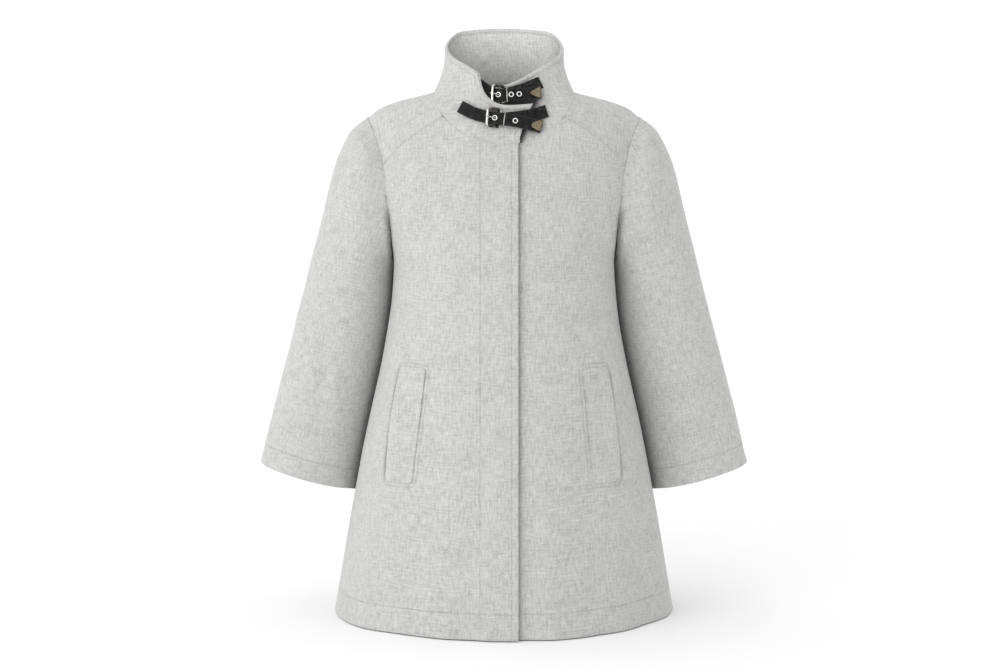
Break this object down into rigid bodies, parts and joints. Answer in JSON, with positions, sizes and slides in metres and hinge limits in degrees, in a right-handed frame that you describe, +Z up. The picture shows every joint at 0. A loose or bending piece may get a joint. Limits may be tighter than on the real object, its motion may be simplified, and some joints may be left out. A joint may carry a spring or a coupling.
{
  "type": "swing coat",
  "caption": "Hollow A-line wool coat, filled out as if worn, with a buckled funnel collar, wide cropped sleeves, a covered front closing and slanted welt pockets.",
  "frame": {"origin": "middle of the neck, level with the points where the shoulder line meets the collar, where the wearer's shoulders hold the coat", "axes": "+Z up the wearer, the front faces -Y, +X to the wearer's left"},
  "size_m": [0.746, 0.4118, 0.8724],
  "materials": {
    "grey_wool": "light grey heathered felted wool",
    "black_leather": "black grained strap leather",
    "gunmetal": "dark antiqued buckle metal",
    "bright_nickel": "bright nickel eyelets",
    "antique_brass": "dull antique brass strap tips"
  },
  "bodies": {
    "root": {"back": "grey_wool", "collar": "grey_wool", "front_left": "grey_wool", "front_right": "grey_wool", "pocket_welt_left": "grey_wool", "pocket_welt_right": "grey_wool", "sleeve_left_front": "grey_wool", "sleeve_left_back": "grey_wool", "sleeve_right_front": "grey_wool", "sleeve_right_back": "grey_wool", "yoke_left": "grey_wool", "yoke_right": "grey_wool", "strap_lower_tab": "black_leather", "strap_lower_tongue": "black_leather", "strap_upper_tab": "black_leather", "strap_upper_tongue": "black_leather", "buckle_lower_frame": "gunmetal", "buckle_lower_prong": "gunmetal", "buckle_upper_frame": "gunmetal", "buckle_upper_prong": "gunmetal", "keeper_lower": "gunmetal", "keeper_upper": "gunmetal", "eyelet_lower_1": "bright_nickel", "eyelet_lower_2": "bright_nickel", "eyelet_upper_1": "bright_nickel", "eyelet_upper_2": "bright_nickel", "eyelet_upper_3": "bright_nickel", "tip_lower": "antique_brass", "tip_upper": "antique_brass"}
  },
  "joints": []
}
